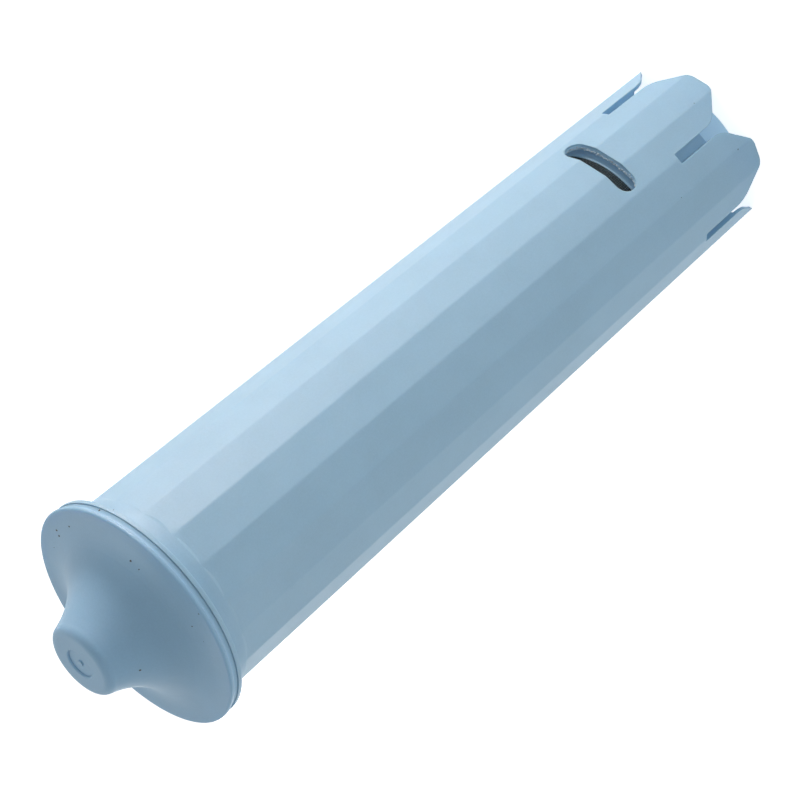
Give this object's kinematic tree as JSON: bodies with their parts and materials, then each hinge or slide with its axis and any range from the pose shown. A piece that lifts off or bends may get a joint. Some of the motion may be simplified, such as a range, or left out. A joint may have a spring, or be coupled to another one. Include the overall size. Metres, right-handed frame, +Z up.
{
  "type": "coffee machine water filter cartridge",
  "caption": "Tapered faceted filter cartridge with a trumpet-shaped nose cap, a lobed crown, a curved water window and an outlet socket inside the crown.",
  "frame": {"origin": "centre of the circle through the six crown tips, on the plane that they stand on", "axes": "+Z up the cartridge's axis towards the nose, -Y towards the middle of the water window"},
  "size_m": [0.052, 0.052, 0.1931],
  "materials": {
    "shell_plastic": "fine matte light blue moulding",
    "cap_plastic": "fine matte light blue moulding",
    "plug_plastic": "fine matte light blue moulding",
    "inner_plastic": "plain matte blue moulding",
    "seal_rubber": "soft grey silicone",
    "mesh_fabric": "fine dark woven screen",
    "filter_fleece": "pressed white felt",
    "granulate": "small mixed beads"
  },
  "bodies": {
    "root": {"housing": "shell_plastic", "end_cap": "cap_plastic", "base_plug": "plug_plastic", "outlet_seal": "seal_rubber", "inlet_sleeve": "inner_plastic", "inlet_mesh": "mesh_fabric", "inlet_fleece": "filter_fleece", "granulate_bed": "granulate", "return_pipe": "inner_plastic", "top_fleece": "filter_fleece", "top_screen": "inner_plastic"}
  },
  "joints": []
}
